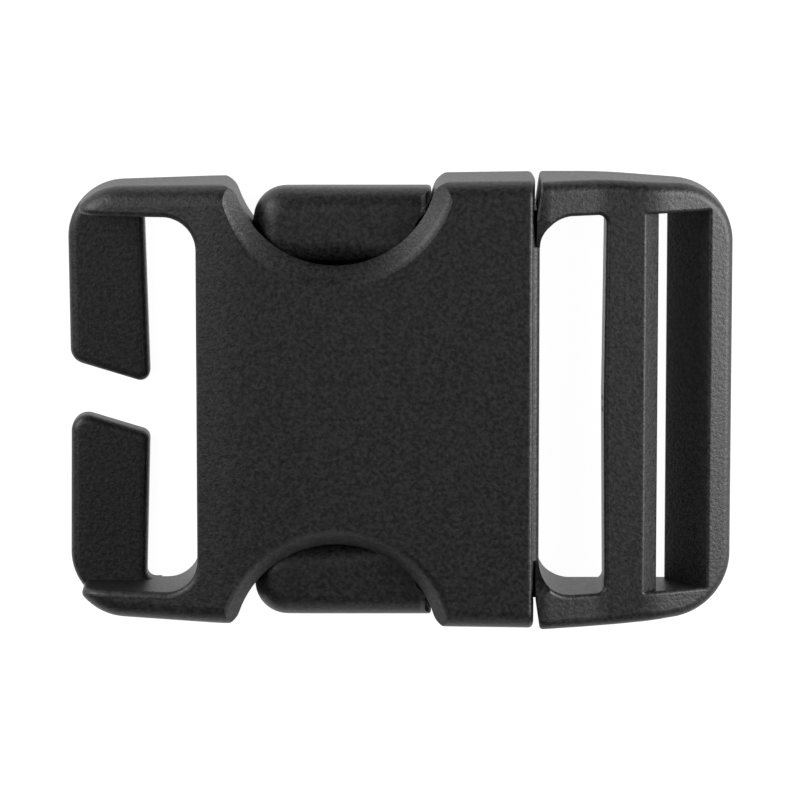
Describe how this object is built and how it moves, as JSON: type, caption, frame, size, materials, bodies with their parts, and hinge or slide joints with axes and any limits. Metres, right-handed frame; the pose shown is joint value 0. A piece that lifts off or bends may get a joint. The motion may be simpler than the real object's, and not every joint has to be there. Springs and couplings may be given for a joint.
{
  "type": "side-release buckle",
  "caption": "Closed side-release strap buckle: a female socket with a split webbing bar, and a male plug with squeeze arms and a ladder-lock adjuster.",
  "frame": {"origin": "the middle of the closed buckle in plan, on the plane of its flat back", "axes": "+X along the buckle from the socket's split bar to the plug's end bar, +Y across it, +Z out of its front face"},
  "size_m": [0.0694, 0.0472, 0.0104],
  "materials": {
    "black_acetal": "fine spark-eroded mould texture"
  },
  "bodies": {
    "socket": {"socket_body": "black_acetal"},
    "plug": {"plug_frame": "black_acetal"},
    "left_arm": {"latch_arm_left": "black_acetal"},
    "right_arm": {"latch_arm_right": "black_acetal"}
  },
  "joints": [
    {"name": "release_slide", "type": "slide", "parent": "socket", "child": "plug", "axis": [1, 0, 0], "range_m": [0, 0.03], "deforming": ["latch_arm_left", "latch_arm_right"]},
    {"name": "left_arm_squeeze", "type": "hinge", "parent": "plug", "child": "left_arm", "pos_m": [0.0112, -0.0172, 0.0052], "axis": [0, 0, -1], "range_deg": [0, 14], "stiffness_Nm_per_rad": 0.8},
    {"name": "right_arm_squeeze", "type": "hinge", "parent": "plug", "child": "right_arm", "pos_m": [0.0112, 0.0172, 0.0052], "axis": [0, 0, 1], "range_deg": [0, 14], "stiffness_Nm_per_rad": 0.8}
  ]
}
